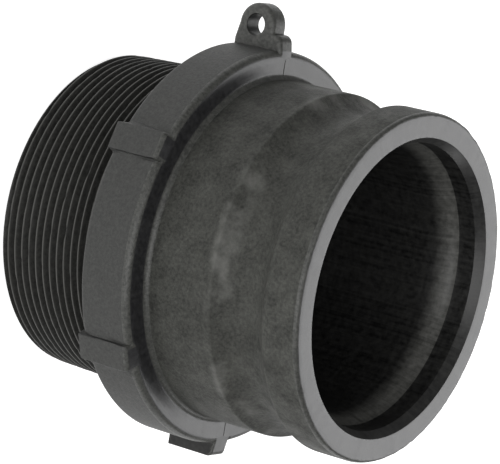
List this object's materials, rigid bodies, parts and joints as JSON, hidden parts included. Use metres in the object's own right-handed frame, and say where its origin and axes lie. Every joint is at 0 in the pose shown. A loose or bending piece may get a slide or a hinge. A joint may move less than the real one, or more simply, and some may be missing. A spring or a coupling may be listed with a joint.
{
  "type": "male cam and groove adapter with male pipe thread",
  "caption": "Moulded plastic male cam-and-groove adapter: a grooved spigot for a cam-arm coupler at one end, a male taper pipe thread at the other, with turning lugs and a tether ear.",
  "frame": {"origin": "on the axis, in the plane of the threaded end's face", "axes": "+Z along the axis from the threaded end to the mouth; -X through the tether ear; the mould's parting plane is the XZ plane"},
  "size_m": [0.1578, 0.1382, 0.128],
  "materials": {
    "black_polypropylene": "moulded, fine matte grain, with the turned-looking mouth face smoother"
  },
  "bodies": {
    "root": {"adapter_body": "black_polypropylene"}
  },
  "joints": []
}
